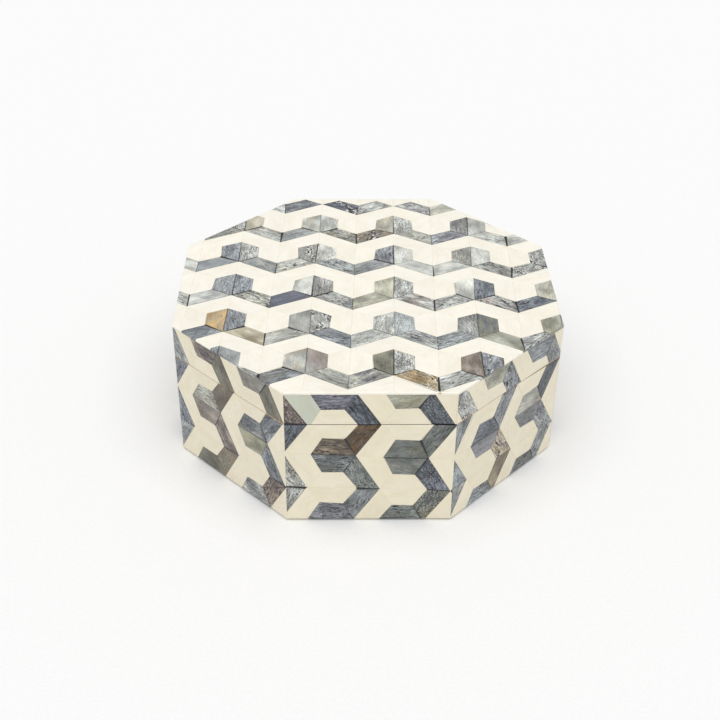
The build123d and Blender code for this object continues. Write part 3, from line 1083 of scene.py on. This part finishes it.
def cut_back_bevel(bm, is_skirt):
    """Planes off the back edge beside the seam, so that the lid can open past upright."""
    lean = -1 if is_skirt else 1
    normal = Vector((0, math.sin(BEVEL_ANGLE), lean * math.cos(BEVEL_ANGLE)))
    cut = cut_through(bm, (0, AXIS_Y, SEAM), normal, clear_outer=True)
    edges = [piece for piece in cut["geom_cut"] if isinstance(piece, bmesh.types.BMEdge)]
    filled = bmesh.ops.holes_fill(bm, edges=edges, sides=0)
    for new_face in filled["faces"]:
        beside = [other for edge in new_face.edges for other in edge.link_faces]
        beside = [other for other in beside if other != new_face]
        new_face.copy_from(min(beside, key=lambda other: other.material_index))


def trimmed(face, outline):
    """A tile's outline cut to the face, as one part or, round the hinges, as several."""
    for distance, normal, kind in face.rims():
        joint = "seam" if kind == "seam" else "rim"
        outline = clipped(outline, (normal[0] * distance, normal[1] * distance), normal, joint)
    if len(outline) < 3:
        return []
    if face.name == "back":
        return split_round_hinges(outline, face.is_skirt)
    return [outline]


def is_swapped(face, tile, part):
    """True if this part of a dark tile is made in ivory: so marked, or a sliver left at a rim."""
    is_sliver = area([point for point, joint in part]) < SMALLEST_DARK_AREA
    return is_sliver or hand_laid(face, tile["key"]) == "ivory"


def lay_field(bm, face, shade):
    """Lays all tiles of one shade on one face."""
    field = bmesh.new()
    field_layers = new_layers(field)
    for tile_shade in ("ivory", "slate"):
        for tile in face.tiles(tile_shade):
            chance = random.Random(f"{face.name} {tile['key']} {tile_shade}")
            for part in trimmed(face, tile["outline"]):
                swapped = tile_shade == "slate" and is_swapped(face, tile, part)
                if shade != ("ivory" if swapped else tile_shade):
                    continue
                if swapped:
                    part = [(spot, "plain" if joint in DARK_JOINTS else joint) for spot, joint in part]
                finish = FINISHES[shade](face, tile, chance)
                add_tile(field, field_layers, part, tile, finish, shade, face, chance)
    round_rims(field, face.rims(), face.inlay)
    stand_up(field, face)
    if face.name in BEVELLED_FACES:
        cut_back_bevel(field, face.is_skirt)
    merge = bpy.data.meshes.new("field")
    field.to_mesh(merge)
    field.free()
    bm.from_mesh(merge)
    bpy.data.meshes.remove(merge)


def linked(name, data):
    """A new object in the scene, round a mesh, a camera or a light."""
    new_object = bpy.data.objects.new(name, data)
    bpy.context.scene.collection.objects.link(new_object)
    return new_object


def finished_object(name, bm, materials, sharp_above=30):
    """A new object from a bmesh, smooth but for its sharp edges."""
    bmesh.ops.recalc_face_normals(bm, faces=bm.faces[:])
    mesh = bpy.data.meshes.new(name)
    bm.to_mesh(mesh)
    bm.free()
    for material in materials:
        mesh.materials.append(material)
    for polygon in mesh.polygons:
        polygon.use_smooth = True
    mesh.set_sharp_from_angle(angle=math.radians(sharp_above))
    return linked(name, mesh)


SEEDS = {name: seed for seed, name in enumerate(FACE_ANGLES, 1)}
TOP_FACE = Face("top", seed=0, bottom=0, top=0)
BASE_FACES = {name: Face(name, seed, FELT_TOP, SEAM - SEAM_GAP) for name, seed in SEEDS.items()}
SKIRT_FACES = {name: Face(name, seed, SEAM + SEAM_GAP, SKIRT_TOP) for name, seed in SEEDS.items()}
FINISHES = {"slate": dark_finish, "ivory": ivory_finish}
# After the bone: pale resin, black resin that also paints the front seam's shadow, and tan painted
# seam shade
FILLERS = ("bone", "pale", "black", "tan")
RESINS_AND_SEAM_SHADE = [
    resin_and_seam_shade_material("pale_resin", linear(218, 210, 190), linear(198, 187, 162)),
    resin_and_seam_shade_material("black_resin", linear(22, 21, 22), linear(60, 58, 58)),
    resin_and_seam_shade_material("tan_resin", linear(212, 184, 138), linear(176, 140, 92)),
]
BONE = {
    "slate": bone_material(
        "dyed_bone", cloud_depth=0.3, fleck_depth=0.9, streak_depth=0.26, dirt_depth=0.4,
        fleck_colour=linear(32, 34, 44),
    ),
    "ivory": bone_material(
        "ivory_bone", cloud_depth=0.018, fleck_depth=0.12, streak_depth=0.014, dirt_depth=0.0,
        fleck_colour=linear(214, 204, 176),
    ),
}


def inlay_piece(cad_node, body, shade, faces):
    """The tiles that stand for one CAD node, on one face or several."""
    bm = bmesh.new()
    for face in faces:
        lay_field(bm, face, shade)
    piece = finished_object(f"{cad_node}_tiles", bm, [BONE[shade]] + RESINS_AND_SEAM_SHADE)
    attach(piece, body)
    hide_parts(cad_node)


def lay_all_tiles():
    """One piece for each node of tiles in the CAD model."""
    for shade in ("ivory", "slate"):
        for name, face in BASE_FACES.items():
            inlay_piece(f"base_inlay_{shade}_{name}", "base", shade, [face])
        inlay_piece(f"lid_skirt_inlay_{shade}", "lid", shade, SKIRT_FACES.values())
        inlay_piece(f"lid_top_inlay_{shade}", "lid", shade, [TOP_FACE])


# ---------------- linings


def octagon_radius(angle, apothem):
    """Distance from the middle of an octagon to its rim at an angle."""
    eighth = 2 * HALF_CORNER
    within = (angle + eighth / 2) % eighth - eighth / 2
    return apothem / math.cos(within)


def add_lining(name, cad_node, body, bm, material):
    """Makes a velvet piece that stands for one CAD node."""
    piece = finished_object(name, bm, [material], sharp_above=60)
    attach(piece, body)
    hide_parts(cad_node)


def card_ring(bm, share, apothem, thickness, back, facing):
    """One ring of a card's velvet, or its middle point, at this share of the way to the rim."""
    rim = (1 - share) * apothem
    rise = 1 - math.exp(-rim / CARD_TURN_UNDER)
    ring = []
    for j in range(CARD_STEPS if share else 1):
        angle = 2 * math.pi * j / CARD_STEPS
        radius = octagon_radius(angle, apothem) * share
        spot = Vector((radius * math.cos(angle), radius * math.sin(angle), 0))
        ripple = CARD_RIPPLE * noise.noise(spot * CARD_RIPPLES) * rise
        crown = thickness * (CARD_RIM_SHARE + (1 - CARD_RIM_SHARE) * rise)
        lift = facing * (crown + ripple - PILE_ROOM)
        ring.append(bm.verts.new((spot.x, spot.y, back + lift)))
    return ring


def padded_octagon(name, cad_node, body, material, facing):
    """A velvet-covered card, lightly padded: low in the crown, turned under at its edge."""
    low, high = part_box(cad_node)
    back = low.z if facing > 0 else high.z
    bm = bmesh.new()
    shares = [1 - (1 - k / CARD_RINGS) ** CARD_CROWDING for k in range(CARD_RINGS + 1)]
    sizes = (high.x - CARD_SETBACK, high.z - low.z)
    loops = [card_ring(bm, share, *sizes, back, facing) for share in shares]
    under = [bm.verts.new((vertex.co.x, vertex.co.y, back)) for vertex in loops[-1]]
    loops.append(under)
    for j in range(CARD_STEPS):
        after = (j + 1) % CARD_STEPS
        bm.faces.new((loops[0][0], loops[1][j], loops[1][after]))
        for inner, outer in zip(loops[1:], loops[2:]):
            bm.faces.new((inner[j], outer[j], outer[after], inner[after]))
    bm.faces.new(list(reversed(under)))
    add_lining(name, cad_node, body, bm, material)


def strip_grid(bm, out, right, low, high, thickness):
    """The padded face of one strip on a wall, as rows of vertices."""
    room, tall = high.x, high.z - low.z
    half = (room - thickness) * math.tan(HALF_CORNER)
    grid = []
    for j in range(STRIP_ROWS + 1):
        v = -math.cos(math.pi * j / STRIP_ROWS)
        height = low.z + tall * (v + 1) / 2
        line = []
        for k in range(STRIP_COLUMNS + 1):
            u = -math.cos(math.pi * k / STRIP_COLUMNS)
            edge_gap = min((1 - abs(u)) * half, (1 - abs(v)) * tall / 2)
            rise = 1 - math.exp(-edge_gap / STRIP_TURN_UNDER)
            spot = out * room + right * (u * half) + Vector((0, 0, height))
            ripple = STRIP_RIPPLE * noise.noise(spot * STRIP_RIPPLES) * rise
            depth = thickness * (STRIP_RIM_SHARE + STRIP_CROWN_SHARE * rise) + ripple
            line.append(bm.verts.new(spot - out * depth))
        grid.append(line)
    return grid


def fill_strip(bm, grid, below, above):
    """The faces of a strip: its padded face, its foot and top, its back and its two ends."""
    for lower, upper in zip(grid, grid[1:]):
        for k in range(STRIP_COLUMNS):
            bm.faces.new((lower[k], upper[k], upper[k + 1], lower[k + 1]))
    foot, top = grid[0], grid[-1]
    for k in range(STRIP_COLUMNS):
        bm.faces.new((foot[k], foot[k + 1], below[k + 1], below[k]))
        bm.faces.new((top[k + 1], top[k], above[k], above[k + 1]))
        bm.faces.new((below[k], below[k + 1], above[k + 1], above[k]))
    for k in (0, STRIP_COLUMNS):
        end = [line[k] for line in grid] + [above[k], below[k]]
        bm.faces.new(end if k == 0 else list(reversed(end)))


def wall_strips(material):
    """The eight velvet-covered strips inside the base's walls."""
    low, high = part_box("base_wall_lining")
    thickness = high.x - (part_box("base_floor_lining")[1].x - FLOOR_LINING_OVERLAP)
    bm = bmesh.new()
    for degrees in FACE_ANGLES.values():
        out, right = outward_and_right(degrees)
        grid = strip_grid(bm, out, right, low, high, thickness)
        below, above = (
            [bm.verts.new(vertex.co + out * (high.x - vertex.co.dot(out))) for vertex in line]
            for line in (grid[0], grid[-1])
        )
        fill_strip(bm, grid, below, above)
    add_lining("base_wall_velvet", "base_wall_lining", "base", bm, material)


# ---------------- CAD nodes kept as they are


def dress(node, material):
    """Gives a CAD node its material."""
    mesh_object = frame["nodes"][node]
    for slot in mesh_object.material_slots:
        slot.link = "OBJECT"
        slot.material = material


def dress_cad_nodes():
    """Wood on the boards and panels, felt under the base, brass on the hinges and screws."""
    panel_wood = wood_material("wood_panel", 0)
    dress("base_panel", panel_wood)
    dress("lid_panel", panel_wood)
    for name, angle in FACE_ANGLES.items():
        board_wood = wood_material(f"wood_{name}", angle)
        dress(f"base_wall_{name}", board_wood)
        dress(f"lid_skirt_{name}", board_wood)
    dress("under_felt", felt_material("black_felt"))
    brass = brass_material("brass")
    for node in frame["nodes"]:
        if node.startswith("hinge_"):
            dress(node, brass)


# ---------------- scene


def add_camera():
    """A camera at the front, looking down on the lid."""
    data = bpy.data.cameras.new("camera")
    data.lens = CAMERA_LENS_MM
    data.sensor_width = CAMERA_SENSOR_MM
    data.clip_start = CAMERA_NEAR
    camera = linked("camera", data)
    turn = Matrix.Rotation(math.radians(CAMERA_TURN), 4, "Z")
    tilt = Matrix.Rotation(math.radians(90 - CAMERA_DOWN), 4, "X")
    roll = Matrix.Rotation(math.radians(CAMERA_ROLL), 4, "Z")
    place = Matrix.Translation(CAMERA_PLACE)
    camera.matrix_world = place @ turn @ tilt @ roll
    bpy.context.scene.camera = camera


def add_floor():
    """A wide sheet of pale paper under the box."""
    bm = bmesh.new()
    bmesh.ops.create_grid(bm, x_segments=8, y_segments=8, size=FLOOR_REACH)
    mesh = bpy.data.meshes.new("floor")
    bm.to_mesh(mesh)
    bm.free()
    mesh.materials.append(floor_material("pale_floor"))
    floor = linked("floor", mesh)


def add_light():
    """A white tent: light from every side, with a broad soft source overhead."""
    world = bpy.data.worlds.new("tent")
    world.use_nodes = True
    background = world.node_tree.nodes["Background"]
    background.inputs["Color"].default_value = (1.0, 1.0, 1.0, 1.0)
    background.inputs["Strength"].default_value = TENT_STRENGTH
    bpy.context.scene.world = world
    sun = bpy.data.lights.new("overhead", "SUN")
    sun.energy = SUN_POWER
    sun.angle = math.radians(SUN_SPREAD)
    linked("overhead", sun).rotation_euler = [math.radians(angle) for angle in SUN_LEAN]
    bpy.context.scene.view_settings.view_transform = "Standard"


add_camera()
add_floor()
add_light()
lay_all_tiles()
velvet = velvet_material("red_velvet")
padded_octagon("base_floor_velvet", "base_floor_lining", "base", velvet, 1)
padded_octagon("lid_velvet", "lid_lining", "lid", velvet, -1)
wall_strips(velvet)
dress_cad_nodes()
